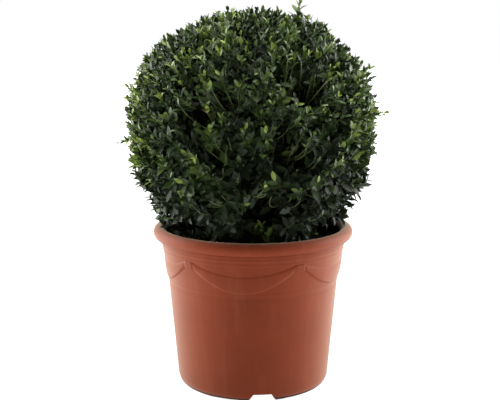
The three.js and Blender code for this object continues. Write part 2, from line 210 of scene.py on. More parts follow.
def map_range(material, source, from_low, from_high, to_low, to_high):
    """A smooth step from one value to another as the source runs between two limits."""
    node = add_node(material, "ShaderNodeMapRange", interpolation_type="SMOOTHSTEP")
    limits = zip(("From Min", "From Max", "To Min", "To Max"), (from_low, from_high, to_low, to_high))
    for name, value in limits:
        node.inputs[name].default_value = value
    link(material, source, node.inputs["Value"])
    return node.outputs["Result"]


# Where a Mix node has its factor, its two colours and its result when it mixes colours.
MIX_FACTOR, MIX_FIRST, MIX_SECOND, MIX_RESULT = 0, 6, 7, 2


def mix_colors(material, factor, first, second):
    """A mix of two colours; each of the three is a value or another node's socket."""
    node = add_node(material, "ShaderNodeMix", data_type="RGBA")
    for place_of_socket, value in ((MIX_FACTOR, factor), (MIX_FIRST, first), (MIX_SECOND, second)):
        socket = node.inputs[place_of_socket]
        if isinstance(value, bpy.types.NodeSocket):
            link(material, value, socket)
        else:
            socket.default_value = value
    return node.outputs[MIX_RESULT]


def add_dusty_sheen(material, shader):
    """The soft light edge of dusty plastic, on faces that look up or outwards and hardly on undersides."""
    surface = add_node(material, "ShaderNodeNewGeometry")
    parts = add_node(material, "ShaderNodeSeparateXYZ")
    link(material, surface.outputs["Normal"], parts.inputs["Vector"])
    dust = map_range(material, parts.outputs["Z"], -0.75, -0.2, 0.02, 0.42)
    link(material, dust, shader.inputs["Sheen Weight"])
    shader.inputs["Sheen Roughness"].default_value = 0.44
    shader.inputs["Sheen Tint"].default_value = (1.0, 0.90, 0.66, 1)


def plastic_material():
    """Terracotta-coloured moulded plastic: satin, with faint upright scuffs and a little dust."""
    material, shader = new_material("moulded_plastic", (0.205, 0.036, 0.013), 0.44, 0.07)
    add_dusty_sheen(material, shader)
    mottle = object_noise(material, 14, 5)
    body = ramp(
        material, mottle.outputs["Fac"],
        [(0.3, (0.184, 0.030, 0.009)), (0.7, (0.211, 0.035, 0.011))],
    )
    scuffs = object_noise(material, 60, 6, stretch=(1, 1, 0.09))
    scuffed = ramp(material, scuffs.outputs["Fac"], [(0.50, (0, 0, 0)), (0.85, (0.16, 0.16, 0.16))])
    color = mix_colors(material, scuffed.outputs["Color"], body.outputs["Color"], (0.36, 0.12, 0.07, 1))
    link(material, color, shader.inputs["Base Color"])
    haze = ramp(material, scuffs.outputs["Fac"], [(0.35, (0.40,) * 3), (0.75, (0.47,) * 3)])
    link(material, haze.outputs["Color"], shader.inputs["Roughness"])
    grain = object_noise(material, 900, 3)
    bump(material, shader, grain.outputs["Fac"], 0.12, 0.0004)
    return material


def painted_shade_plastic_material():
    """The inside of the pot, darkened with painted shade."""
    material, shader = new_material("painted_shade_plastic", (0.05, 0.015, 0.007), 0.7, 0.2)
    blotches = object_noise(material, 30, 6)
    color = ramp(
        material, blotches.outputs["Fac"],
        [(0.35, (0.020, 0.009, 0.005)), (0.7, (0.085, 0.020, 0.009))],
    )
    link(material, color.outputs["Color"], shader.inputs["Base Color"])
    bump(material, shader, blotches.outputs["Fac"], 0.3, 0.001)
    return material


def compost_material():
    """Moist dark peat."""
    material, shader = new_material("peat", (0.02, 0.012, 0.007), 0.85, 0.3)
    pattern = object_noise(material, 120, 8)
    color = ramp(
        material, pattern.outputs["Fac"],
        [(0.35, (0.008, 0.005, 0.003)), (0.6, (0.03, 0.018, 0.010)), (0.8, (0.075, 0.045, 0.024))],
    )
    link(material, color.outputs["Color"], shader.inputs["Base Color"])
    bump(material, shader, pattern.outputs["Fac"], 0.6, 0.003)
    return material


def bark_material():
    """Thin grey-brown bark, finely cracked along the limb."""
    material, shader = new_material("bark", (0.16, 0.11, 0.07), 0.8, 0.3)
    streaks = object_noise(material, 160, 7, stretch=(1, 1, 0.25))
    color = ramp(
        material, streaks.outputs["Fac"],
        [(0.3, (0.085, 0.058, 0.036)), (0.55, (0.24, 0.17, 0.105)), (0.78, (0.40, 0.32, 0.22))],
    )
    link(material, color.outputs["Color"], shader.inputs["Base Color"])
    bump(material, shader, streaks.outputs["Fac"], 0.7, 0.0012)
    return material


def leaf_material(name, color, roughness, specular):
    """A plain leaf colour; the leaf's fine grain is only in the bump."""
    material, shader = new_material(name, color, roughness, specular)
    grain = object_noise(material, 420, 3)
    bump(material, shader, grain.outputs["Fac"], 0.25, 0.0006)
    return material


# ---- pot

POT_COLUMNS = 540
WALL = 3.0
RIM_CORNER = box_mm("pot_rim")[1]
RIM_ROLL = 10.5
RIM_Z = RIM_CORNER[2] - RIM_ROLL
RIM_MIDDLE = RIM_CORNER[0] + 0.3 - RIM_ROLL
FOOT_OUTER, FOOT_INNER = 115.5, 108.5
FLOOR_UNDER = 15.0
PLATE_RADIUS = 99.0
DRAIN_HOLES, DRAIN_RING, DRAIN_RADIUS = 5, 72.0, 6

# Radius and height of the wall's outside at the bottom corner, where it begins to flare, and under the rim.
CORNER = (129.2, 16.0)
BEND = (144.0, 180.0)
BRIM = (156.7, 252.3)

# Beads round the wall: height, how proud each stands, and its half width.
BEADS = ((235.3, 0.35, 2.0), (242.7, 0.5, 2.0), (185.0, 0.22, 1.6), (173.0, 0.22, 1.6))

# The festoon: panels whose edges are curves, each given by its height in the middle and its rise to the ends.
SWAGS = 5
SWAG_MIDDLE, SWAG_HALF = -6.9, 32.8
SWAG_UPPER, SWAG_LOWER = (216, 16.5), (188, 36.5)
SWAG_PROUD, STEP = 1.8, 0.8
BLOCK_HALF, BLOCK_LOW, BLOCK_HIGH, BLOCK_PROUD = 3.2, 221.5, 233.0, 1.9

# The foot: half angles of a gap's bottom and top, and where the stretch between two pads begins and ends.
GAP_AZIMUTH, GAP_BOTTOM, GAP_TOP, GAP_HEIGHT = 7.0, 11.2, 6.9, 14.5
PAD_LIFT, PAD_ENDS = 2.5, (18.5, 38.5)


def smooth_step(value, low, high):
    """0 up to low, 1 from high on, and a smooth rise between them."""
    t = np.clip((value - low) / (high - low), 0, 1)
    return t * t * (3 - 2 * t)


def wall_radius(z):
    """Radius of the wall's outside at a height."""
    return np.interp(z, (CORNER[1], BEND[1], BRIM[1]), (CORNER[0], BEND[0], BRIM[0]))


def festoon(azimuth, z):
    """How proud the relief stands on the wall: crescent panels, with a block between two of them."""
    period = 360 / SWAGS
    turn = (azimuth - SWAG_MIDDLE + period / 2) % period - period / 2
    t = turn / SWAG_HALF
    upper = SWAG_UPPER[0] + SWAG_UPPER[1] * t * t
    lower = SWAG_LOWER[0] + SWAG_LOWER[1] * t * t
    inside = smooth_step(z, lower - 2 * STEP, lower + 2 * STEP)
    inside *= 1 - smooth_step(z, upper - 3 * STEP, upper + STEP)
    inside *= 1 - smooth_step(np.abs(t), 0.975, 1.0)
    up_panel = np.clip((z - lower) / np.maximum(upper - lower, 1), 0, 1)
    panel = SWAG_PROUD * inside * (0.85 + 0.3 * np.sin(up_panel * np.pi) - 0.4 * up_panel)
    from_block = period / 2 - np.abs(turn)
    block = 1 - smooth_step(from_block, BLOCK_HALF - 0.3, BLOCK_HALF + 0.3)
    block *= smooth_step(z, BLOCK_LOW - 0.5, BLOCK_LOW + 0.5)
    block *= 1 - smooth_step(z, BLOCK_HIGH - 0.5, BLOCK_HIGH + 0.5)
    return np.maximum(panel, BLOCK_PROUD * block)


def foot_lift(azimuth):
    """Height to which the foot is cut away: not on a pad, a little between pads, most in the four gaps."""
    turn = np.abs((azimuth - GAP_AZIMUTH + 45) % 90 - 45)
    gap = GAP_HEIGHT * np.clip((GAP_BOTTOM - turn) / (GAP_BOTTOM - GAP_TOP), 0, 1)
    low, high = PAD_ENDS
    relief = PAD_LIFT * smooth_step(turn, low - 0.3, low + 0.3)
    relief *= 1 - smooth_step(turn, high - 0.3, high + 0.3)
    return np.maximum(gap, relief)


def arc(centre_r, centre_z, radius_r, radius_z, start, stop, steps):
    """Radius and height along an arc between two angles in degrees."""
    turn = np.radians(np.linspace(start, stop, steps + 1))
    return np.stack([centre_r + radius_r * np.cos(turn), centre_z + radius_z * np.sin(turn)], 1)


def pot_profile():
    """Radius and height round the shell's section, from under the floor out, up, over and down inside."""
    plain = np.arange(24, 172, 12.0)
    ringed = np.arange(172, 187, 0.55)
    relief = np.arange(187.2, 234, 0.8)
    beaded = np.arange(234, 246, 0.55)
    heights = np.concatenate([plain, ringed, relief, beaded, [248.0, 250.5]])
    bead = sum(p * np.exp(-(((heights - z) / half) ** 2)) for z, p, half in BEADS)
    outer = np.stack([wall_radius(heights) + bead, heights], 1)
    corner = arc(FOOT_OUTER, CORNER[1], CORNER[0] - FOOT_OUTER, CORNER[1], -90, 0, 8)
    roll = arc(RIM_MIDDLE, RIM_Z, RIM_ROLL, RIM_ROLL, -110, 245, 30)
    inner_heights = np.array([249.0, 215, BEND[1], 110, 40, CORNER[1] + 9])
    inner = np.stack([wall_radius(inner_heights) - WALL, inner_heights], 1)
    under = [
        (PLATE_RADIUS, FLOOR_UNDER),
        (FOOT_INNER - 1.5, FLOOR_UNDER),
        (FOOT_INNER - 0.6, 1.2),
        (FOOT_INNER + 0.6, 0),
    ]
    bottom = [(CORNER[0] - WALL - 8, FLOOR_UNDER + WALL), (PLATE_RADIUS, FLOOR_UNDER + WALL)]
    return np.concatenate([under, corner, outer, roll, inner, bottom])


def coordinates_of(bm):
    """The places of a bmesh's vertices, as an array."""
    return np.array([v.co for v in bm.verts])


def move_to(bm, points):
    """Moves a bmesh's vertices to new places."""
    for vertex, point in zip(bm.verts, points):
        vertex.co = point


PAINTED_SHADE = 1  # place of the plastic darkened with painted shade in the shell's materials


def pot_shell():
    """The pot's wall, rim and foot: a spun section, with the relief raised and the foot's gaps cut."""
    bm = bmesh.new()
    section = [bm.verts.new((r, 0, z)) for r, z in pot_profile()]
    edges = [bm.edges.new(pair) for pair in zip(section, section[1:] + section[:1])]
    bmesh.ops.spin(
        bm, geom=section + edges, cent=(0, 0, 0), axis=(0, 0, 1), angle=2 * math.pi,
        steps=POT_COLUMNS, use_merge=True,
    )
    points = coordinates_of(bm)
    radius = np.hypot(points[:, 0], points[:, 1])
    azimuth = np.degrees(np.arctan2(points[:, 0], -points[:, 1]))
    z = points[:, 2]
    on_wall = (radius > wall_radius(z) - 1) & (z > 180) & (z < 240)
    rise = np.where(on_wall, festoon(azimuth, z), 0)
    points[:, :2] *= (1 + rise / np.maximum(radius, 1))[:, None]
    foot = (radius > PLATE_RADIUS + 1) & (z < GAP_HEIGHT)
    points[:, 2] = np.where(foot, np.maximum(z, foot_lift(azimuth)), z)
    move_to(bm, points)
    bmesh.ops.recalc_face_normals(bm, faces=bm.faces)
    # Faces within the wall's inner radius, below the rim, take the plastic darkened with painted shade.
    for face in bm.faces:
        middle = face.calc_center_median()
        distance = math.hypot(middle.x, middle.y)
        if middle.z < RIM_Z - 2 and distance < wall_radius(middle.z) - WALL + 0.5:
            face.material_index = PAINTED_SHADE
    return object_from_bmesh("pot_shell", bm)


def pot_plate():
    """The pot's floor inside the foot ring, with its drain holes."""
    bm = bmesh.new()
    bmesh.ops.create_cone(
        bm, cap_ends=True, segments=96, radius1=PLATE_RADIUS, radius2=PLATE_RADIUS, depth=WALL,
        matrix=Matrix.Translation((0, 0, FLOOR_UNDER + WALL / 2)),
    )
    plate = object_from_bmesh("pot_plate", bm, smooth=False)
    cutter = bmesh.new()
    for azimuth in (np.arange(DRAIN_HOLES) + 0.5) * 360 / DRAIN_HOLES:
        x, y, _ = DRAIN_RING * towards(azimuth)
        bmesh.ops.create_cone(
            cutter, cap_ends=True, segments=24, radius1=DRAIN_RADIUS, radius2=DRAIN_RADIUS, depth=4 * WALL,
            matrix=Matrix.Translation((x, y, FLOOR_UNDER + WALL / 2)),
        )
    holes = object_from_bmesh("drain_holes", cutter, smooth=False)
    cut = plate.modifiers.new("drain", "BOOLEAN")
    cut.operation, cut.solver, cut.object = "DIFFERENCE", "EXACT", holes
    bpy.context.view_layer.update()
    finished = bpy.data.meshes.new_from_object(plate.evaluated_get(bpy.context.evaluated_depsgraph_get()))
    plate.modifiers.clear()
    plate.data = finished
    bpy.data.objects.remove(holes)
    return plate


def make_pot():
    """The shell and the floor plate, in place of the pot's four solids."""
    plastic = plastic_material()
    # The plastic inside the pot is darkened with painted shade.
    shaded_inside = painted_shade_plastic_material()
    place(pot_shell(), [plastic, shaded_inside], ["pot_foot", "pot_wall", "pot_rim"])
    place(pot_plate(), [plastic], ["pot_floor"])


# ---- compost

COMPOST_TOP = box_mm("compost")[1][2] - 1.0
COMPOST_BOTTOM = 19
CRUMBS = 1500


def compost_height(x, y):
    """The uneven top of the compost, lower at the wall."""
    edge = smooth_step(np.hypot(x, y), 110, 150)
    rough = np.array([noise.fractal(Vector((a / 21, b / 21, 3.7)), 1.0, 2.1, 5) for a, b in zip(x, y)])
    return COMPOST_TOP - 5 * edge + 2.6 * rough - 1.2


def make_compost():
    """The filling of the pot, with crumbs of peat on its top."""
    peat = compost_material()
    bm = bmesh.new()
    rings = [(r, COMPOST_TOP) for r in np.linspace(1.5, 150.5, 48)]
    wall = [(wall_radius(z) - WALL - 0.3, z) for z in (225.0, BEND[1], 100.0, CORNER[1] + 12)]
    profile = [(0, COMPOST_TOP), *rings, *wall, (110, COMPOST_BOTTOM), (0, COMPOST_BOTTOM)]
    section = [bm.verts.new((r, 0, z)) for r, z in profile]
    edges = [bm.edges.new(pair) for pair in zip(section, section[1:])]
    bmesh.ops.spin(
        bm, geom=section + edges, cent=(0, 0, 0), axis=(0, 0, 1), angle=2 * math.pi,
        steps=144, use_merge=True,
    )
    bmesh.ops.remove_doubles(bm, verts=bm.verts, dist=0.01)
    points = coordinates_of(bm)
    top = points[:, 2] > COMPOST_TOP - 0.5
    points[top, 2] = compost_height(points[top, 0], points[top, 1])
    move_to(bm, points)
    bmesh.ops.recalc_face_normals(bm, faces=bm.faces)
    place(object_from_bmesh("compost_bed", bm), [peat], ["compost"])
    place(crumbs(CRUMBS), [peat])


def crumbs(count):
    """Small flattened lumps lying on the compost, joined into one piece."""
    bm = bmesh.new()
    bmesh.ops.create_icosphere(bm, subdivisions=1, radius=1)
    lump = coordinates_of(bm)
    faces = np.array([[v.index for v in f.verts] for f in bm.faces])
    bm.free()
    distance = 148 * np.sqrt(RNG.random(count))
    x, y, _ = (distance[:, None] * towards(RNG.random(count) * 360)).T
    size = 1.0 + 2.2 * RNG.random(count) ** 3
    shape = size[:, None] * RNG.uniform([0.8, 0.6, 0.4], [1.9, 1.2, 0.8], (count, 3))
    turn = RNG.random(count) * 2 * np.pi
    local = lump[None] * shape[:, None] * (1 + 0.25 * RNG.standard_normal((count, len(lump), 1)).clip(-1, 1))
    cos, sin = np.cos(turn)[:, None], np.sin(turn)[:, None]
    along, across = local[..., 0], local[..., 1]
    flat = np.stack([along * cos - across * sin, along * sin + across * cos], -1)
    centre = np.stack([x, y, compost_height(x, y) + shape[:, 2] * 0.5], -1)
    points = np.concatenate([flat, local[..., 2:]], -1) + centre[:, None]
    index = faces[None] + (np.arange(count) * len(lump))[:, None, None]
    return object_from_arrays("compost_crumbs", points.reshape(-1, 3), [index.reshape(-1, 3)], smooth=False)


# ---- the clipped ball

# Each mass of the crown: the direction of its middle, and the height at which its bough leaves the trunk.
MASSES = {
    "top": (0, 75, 310),
    "upper_front": (-5, 27, 300),
    "right": (48, 6, 292),
    "left": (-45, 5, 290),
    "front": (2, -8, 276),
    "low_right": (38, -20, 264),
    "low_left": (-30, -20, 262),
    "back_right": (108, 13, 298),
    "back": (170, 18, 302),
    "back_left": (-108, 14, 295),
    "low_back_right": (98, -24, 266),
    "low_back": (165, -18, 270),
    "low_back_left": (-98, -23, 268),
}
# Each low tuft round the foot, and how many sprigs it has.
TUFTS = {"left": 60, "front_left": 56, "front": 34, "right": 26, "back_right": 44, "back_left": 50}
MASS_NODES = ["mass_" + name for name in MASSES]
TUFT_NODES = ["tuft_" + name for name in TUFTS]
DIRECTIONS = np.array([towards(azimuth, elevation) for azimuth, elevation, _ in MASSES.values()])

# The clipped surface: its middle, its radius level with that, and how far it rises above and falls below.
BALL = np.array([-2, 0, 450.0])
RADIUS, RISE, FALL = 214.5, 185.0, 250.0
CLEFT_DEPTH, CLEFT_WIDTH = 0.0375, 0.12
WAVE_DEPTH = 0.03

# Where the surface swells: direction, rise in mm, and width in radians.
SHOULDERS = (((-72, 36), 5.5, 0.42), ((72, 50), 7.0, 0.30))

# The dark hollow low in the front, an upright egg.
HOLLOW_AZIMUTH = 9
HOLLOW = towards(HOLLOW_AZIMUTH) * 138 + [0, 0, 308]
HOLLOW_RADII = np.array([32, 92, 38])

# Dark pits between the sprays of the front: azimuth, elevation, half width, half height and depth in mm.
PITS = (
    (20, 28, 31, 18, 92),
    (28.5, 17.5, 33, 24, 100),
    (-27.5, 7, 34, 20, 88),
    (-12, 13.5, 25, 15, 74),
    (15.5, 0, 17, 26, 88),
    (14.5, -13, 20, 26, 88),
    (25, -13, 16, 24, 76),
    (-1, -22, 17, 36, 96),
    (13, -34, 38, 18, 100),
    (28, -36, 26, 16, 86),
    (-17, -13, 20, 14, 64),
    (-14, -34, 22, 13, 70),
    (-50, -28, 17, 15, 55),
    (46, -22, 14, 22, 55),
)


def ball_reach(ways):
    """Distance from the ball's middle to the clipped surface, in directions given as unit vectors."""
    height = np.where(ways[:, 2] > 0, RISE, FALL)
    level = np.hypot(ways[:, 0], ways[:, 1]) / RADIUS
    reach = 1 / np.hypot(level, ways[:, 2] / height)
    angles = np.sort(np.arccos(np.clip(ways @ DIRECTIONS.T, -1, 1)), axis=1)
    seam = ((angles[:, 1] - angles[:, 0]) / CLEFT_WIDTH) ** 2
    wave = np.sin(9.1 * ways[:, 0] + 1.3) * np.sin(8.3 * ways[:, 1] + 2.1) * np.sin(10.2 * ways[:, 2] + 0.7)
    reach *= 1 - CLEFT_DEPTH * np.exp(-seam) - WAVE_DEPTH * (0.5 + 0.5 * wave)
    for direction, rise, width in SHOULDERS:
        away = np.arccos(np.clip(ways @ towards(*direction), -1, 1))
        reach += rise * np.exp(-((away / width) ** 2))
    return reach


def even_directions(count, jitter=0.0):
    """Directions spread evenly over the sphere, each moved a little at random."""
    step = np.arange(count) + 0.5
    height = 1 - 2 * step / count
    turn = step * math.pi * (3 - math.sqrt(5))
    level = np.sqrt(1 - height ** 2)
    ways = np.stack([level * np.cos(turn), level * np.sin(turn), height], 1)
    return unit(ways + jitter * math.sqrt(4 / count) * RNG.standard_normal((count, 3)))


def nearest(points, targets):
    """Index of the nearest target for each point."""
    found = [np.argmin(((chunk[:, None] - targets[None]) ** 2).sum(-1), axis=1)
             for chunk in np.array_split(points, max(1, len(points) // 500))]
    return np.concatenate(found)


def in_pit(points):
    """True for points inside one of the dark pits, each a half egg sunk in the clipped surface."""
    offset = points - BALL
    ways = unit(offset)
    depth = ball_reach(ways) - np.linalg.norm(offset, axis=1)
    inside = np.zeros(len(points), bool)
    for azimuth, elevation, half_width, half_height, deepest in PITS:
        middle = towards(azimuth, elevation)
        aside = unit(np.cross([0, 0, 1], middle))
        across = RADIUS * ((ways - middle) @ aside) / half_width
        up = RADIUS * ((ways - middle) @ np.cross(middle, aside)) / half_height
        front = ways @ middle > 0
        inside |= front & (across ** 2 + up ** 2 + (np.maximum(depth, 0) / deepest) ** 2 < 1)
    return inside


def in_hollow(points, grow=1.0):
    """True for points inside the dark hollow low in the front."""
    cos, sin = math.cos(math.radians(HOLLOW_AZIMUTH)), math.sin(math.radians(HOLLOW_AZIMUTH))
    x, y, z = (points - HOLLOW).T
    local = np.stack([x * cos + y * sin, -x * sin + y * cos, z], 1)
    return ((local / (HOLLOW_RADII * grow)) ** 2).sum(1) < 1


# ---- limbs

TRUNK_FOOT, TRUNK_FORK = (corner[2] for corner in box_mm("trunk"))
TRUNK_BASE = 244
TRUNK_RADIUS, FORK_RADIUS, FLARE = 10.5, 6, 6.5
TRUNK_SIDES, TRUNK_RIBS = 28, 5
BOUGH_TIP = 130.0
BOUGH_STEPS, BOUGH_SIDES = 22, 14
STEM_STEPS, STEM_SIDES = 12, 9
STEM_START = 253.0


def trunk_middle(z):
    """The trunk's leaning middle line."""
    share = (np.asarray(z, float) - TRUNK_BASE) / (TRUNK_FORK - TRUNK_BASE)
    return np.stack([7 * share, -5 * share ** 2, np.asarray(z, float)], -1)


def barked(paths, radii, sides, depth):
    """Tubes with bark: ridges that run along the limb, a little knobbly."""
    points, faces = tubes(paths, radii, sides)
    count, steps = radii.shape
    shaped = points.reshape(count, steps, sides, 3)
    ridges = RNG.standard_normal((count, 1, sides)) * 0.6 + RNG.standard_normal((count, steps, sides)) * 0.5
    knobs = RNG.standard_normal((count, steps, 1)) * 0.4
    shaped = shaped + (shaped - paths[:, :, None]) * (depth * (ridges + knobs))[..., None]
    return shaped.reshape(-1, 3), faces


def make_trunk(bark):
    """The short trunk, with its flared and ribbed foot, up to its fork."""
    heights = np.linspace(TRUNK_FOOT - 4, TRUNK_FORK, 26)
    share = (heights - TRUNK_FOOT) / (TRUNK_FORK - TRUNK_FOOT)
    flare = np.exp(-3 * np.maximum(heights - TRUNK_FOOT, 0) / 18)
    radii = (TRUNK_RADIUS + (FORK_RADIUS - TRUNK_RADIUS) * share + FLARE * flare)[None]
    points, faces = barked(trunk_middle(heights)[None], radii, TRUNK_SIDES, 0.045)
    middle = np.repeat(trunk_middle(heights), TRUNK_SIDES, axis=0)
    out = points - middle
    turn = np.arctan2(out[:, 1], out[:, 0])
    ribs = 1 + 0.16 * np.repeat(flare, TRUNK_SIDES) * np.cos(TRUNK_RIBS * turn)
    points = middle + out * ribs[:, None]
    place(object_from_arrays("trunk_bark", points, faces), [bark], ["trunk"])


def limb_paths(targets, starts, climb, steps):
    """Curves from heights on the trunk to their targets; climb is how much they rise by the elbow."""
    foot = trunk_middle(starts)
    elbow = foot + 0.45 * (targets - foot)
    elbow[:, 2] = foot[:, 2] + climb * (targets[:, 2] - foot[:, 2])
    return curve_points(foot, elbow, targets, steps)


def bough_tips():
    """Where the boughs end, inside their masses."""
    return BALL + DIRECTIONS * BOUGH_TIP


def tuft_centres():
    """The middles of the low tufts, where their stems end."""
    return np.array([np.add(*box_mm(node)) / 2 for node in TUFT_NODES])


def tapering(first, last, steps, count):
    """Radii along limbs or twigs, one row each."""
    return np.broadcast_to(np.linspace(first, last, steps), (count, steps))


def make_boughs(bark):
    """The boughs of the masses and the low stems of the tufts, in one piece."""
    starts = np.array([start for _, _, start in MASSES.values()], float)
    paths = limb_paths(bough_tips(), starts, 0.55, BOUGH_STEPS)
    wander = np.cumsum(RNG.standard_normal(paths.shape), axis=1) * 0.35
    paths = paths + wander * np.sin(np.linspace(0, np.pi, BOUGH_STEPS))[None, :, None]
    boughs = barked(paths, tapering(4.8, 2.5, BOUGH_STEPS, len(paths)), BOUGH_SIDES, 0.06)
    low = limb_paths(tuft_centres(), np.full(len(TUFTS), STEM_START), 0.35, STEM_STEPS)
    stems = barked(low, tapering(2.7, 1.5, STEM_STEPS, len(low)), STEM_SIDES, 0.06)
    points, faces = joined([boughs, stems])
    nodes = ["bough_" + name for name in MASSES] + ["stem_" + name for name in TUFTS]
    place(object_from_arrays("bough_bark", points, faces), [bark], nodes)


# ---- sprigs and leaves

# Along a leaf from foot to tip: the share of its length, and of its half width there.
LEAF_STATIONS = ((0.0, 0.0), (0.16, 0.55), (0.45, 1.0), (0.74, 0.78), (1.0, 0.0))
LEAF_POINTS = 11
LEAF_TRIANGLES = 12


def leaf_mesh(base, axis, normal, length, width, curl, fold):
    """Joined leaves: each has a midrib of five points, with three pairs of edge points beside it."""
    count = len(base)
    side = unit(np.cross(axis, normal))
    share = np.array([s for s, _ in LEAF_STATIONS])
    half = np.array([h for _, h in LEAF_STATIONS])
    rib = (base[:, None] + axis[:, None] * (share * length[:, None])[..., None]
           - normal[:, None] * (curl[:, None] * length[:, None] * share ** 2)[..., None])
    inner = slice(1, 4)
    spread = (half[inner] * width[:, None] / 2)[..., None]
    lift = normal[:, None] * (fold[:, None, None] * spread)
    left = rib[:, inner] + side[:, None] * spread + lift
    right = rib[:, inner] - side[:, None] * spread + lift
    points = np.concatenate([rib, left, right], axis=1)
    quads = np.array([(1, 2, 6, 5), (2, 3, 7, 6), (2, 1, 8, 9), (3, 2, 9, 10)])
    tris = np.array([(0, 1, 5), (1, 0, 8), (3, 4, 7), (4, 3, 10)])
    offset = (np.arange(count) * LEAF_POINTS)[:, None, None]
    faces = [(quads[None] + offset).reshape(-1, 4), (tris[None] + offset).reshape(-1, 3)]
    return points.reshape(-1, 3), faces


PAIRS = 7
INTERNODE = 8.5
YOUNG_LENGTH, GROWN_LENGTH = 12, 20
YOUNG_OPENING, GROWN_OPENING = 24, 66
GROWN_AT = 30


class Sprigs:
    """Curved sprigs: each has a foot, a bend and a tip, and the tone, size and spacing of its leaves."""

    def __init__(self, feet, tips, lean, tones, sizes, internode=INTERNODE):
        self.feet, self.tips, self.tones, self.sizes = feet, tips, tones, sizes
        self.internode = internode
        self.lengths = np.linalg.norm(tips - feet, axis=1)
        self.bends = tips - lean * (0.55 * self.lengths)[:, None]

    def at(self, share):
        """Points and directions along the sprigs; share is n by k."""
        t = share[..., None]
        feet, bends, tips = (a[:, None] for a in (self.feet, self.bends, self.tips))
        point = (1 - t) ** 2 * feet + 2 * t * (1 - t) * bends + t * t * tips
        way = unit(2 * (1 - t) * (bends - feet) + 2 * t * (tips - bends))
        return point, way


def leaves_of(sprigs):
    """Opposite pairs of leaves up each sprig, a quarter turn from pair to pair. Arrays, with a row a leaf."""
    count = len(sprigs.tips)
    from_tip = sprigs.internode * (np.arange(PAIRS)[None] + RNG.uniform(-0.15, 0.15, (count, PAIRS)) + 0.12)
    share = 1 - from_tip / sprigs.lengths[:, None]
    foot, way = sprigs.at(np.clip(share, 0, 1))
    start = RNG.standard_normal((count, 1, 3))
    across = unit(np.cross(way, start))
    beside = np.cross(way, across)
    age = np.clip(from_tip / GROWN_AT, 0, 1)
    rows = []
    for side in (0, 1):
        turn = (np.arange(PAIRS)[None] * 90 + side * 180 + RNG.normal(0, 14, (count, PAIRS))) * np.pi / 180
        out = across * np.cos(turn)[..., None] + beside * np.sin(turn)[..., None]
        opening = YOUNG_OPENING + (GROWN_OPENING - YOUNG_OPENING) * age
        opening = np.radians(opening + RNG.normal(0, 9, share.shape))
        axis = way * np.cos(opening)[..., None] + out * np.sin(opening)[..., None]
        normal = way * np.sin(opening)[..., None] - out * np.cos(opening)[..., None]
        length = YOUNG_LENGTH + (GROWN_LENGTH - YOUNG_LENGTH) * smooth_step(age, 0, 0.6)
        length = sprigs.sizes[:, None] * length * RNG.uniform(0.82, 1.12, share.shape)
        rows.append((foot, axis, normal, length, age, share))
    foot, axis, normal, length, age, share = (np.concatenate([r[i] for r in rows], axis=1) for i in range(6))
    owner = np.broadcast_to(np.arange(count)[:, None], share.shape)
    keep = share > 0.1
    normal = unit(normal[keep] + 0.16 * RNG.standard_normal((keep.sum(), 3)))
    axis = axis[keep]
    axis = unit(axis - (axis * normal).sum(1, keepdims=True) * normal)
    leaves = dict(foot=foot, length=length, age=age, owner=owner)
    leaves = {key: value[keep] for key, value in leaves.items()}
    return dict(leaves, axis=axis, normal=normal)


def clear_of_pot(points):
    """True for points that are neither in the rim or the wall nor in the compost."""
    radius = np.hypot(points[:, 0], points[:, 1])
    z = points[:, 2]
    in_roll = np.hypot(radius - RIM_MIDDLE, z - RIM_Z) < RIM_ROLL + 1.5
    outside = (radius > wall_radius(z) - WALL - 2) & (z < RIM_Z)
    return ~(in_roll | outside | (z < COMPOST_TOP + 1))


def fullness(points):
    """How densely the crown is leaved: full at the top, looser below, open low on the flanks."""
    share = 0.30 + 0.26 * smooth_step(points[:, 2], 285, 390) + 0.44 * smooth_step(points[:, 2], 390, 540)
    share += 0.3 * smooth_step(np.abs(points[:, 0]), 150, 190) * smooth_step(points[:, 2], 350, 400)
    flank = smooth_step(points[:, 0], 60, 120) * (1 - smooth_step(points[:, 2], 300, 370))
    rear = smooth_step(points[:, 1], -20, 60) * (1 - smooth_step(np.abs(points[:, 0]), 90, 130))
    return np.maximum(share * (1 - 0.3 * flank), 0.85 * rear)


SPRAYS = 430
SPRAY_DEPTH = 60
LOWEST_SPRAY, LOWEST_TIP = 268, 266
SPRAY_REACH = 145


def spray_ends():
    """The ends of the branchlets, from which the sprigs fan out."""
    ways = even_directions(SPRAYS, 0.35)
    ends = BALL + ways * (ball_reach(ways) - SPRAY_DEPTH - 10 * RNG.random(SPRAYS))[:, None]
    keep = (ends[:, 2] > LOWEST_SPRAY) & (np.hypot(ends[:, 0], ends[:, 1]) < SPRAY_REACH)
    return ends[keep & ~in_hollow(ends, 1.05) & ~in_pit(ends)]


# Layers of sprigs, from the clipped surface inwards: how many, between which depths, tone and leaf size. The
# tone darkens the layers further in: partly older leaves, partly painted shade.
LAYERS = (
    (2600, 0, 7, 0.0, 1.0),
    (2000, 14, 38, -1.0, 1.0),
    (1500, 40, 66, -2.0, 0.95),
    (900, 70, 105, -4.0, 1.0),
)
DOMES, DOME_RISE, DOME_TONE, DOME_RADIUS = 600, 2.4, 0.42, 20
SPRIG_LENGTH = 45


def painted_light_of_place(ways, tips):
    """Painted light and shade in the leaves' tone: lighter on top and on the flanks, darker low down, and in
    the middle and on its right.
    """
    x, _, z = tips.T
    light = 0.45 * ways[:, 2] + 0.7 * smooth_step(np.abs(ways[:, 0]), 0.7, 1.0)
    light -= 1 - smooth_step(z, 290, 430)
    light -= 0.35 * smooth_step(x, -60, 10) * (1 - smooth_step(x, 140, 180))
    light -= 0.5 * smooth_step(x, 40, 90) * (1 - smooth_step(z, 330, 400))
    return light


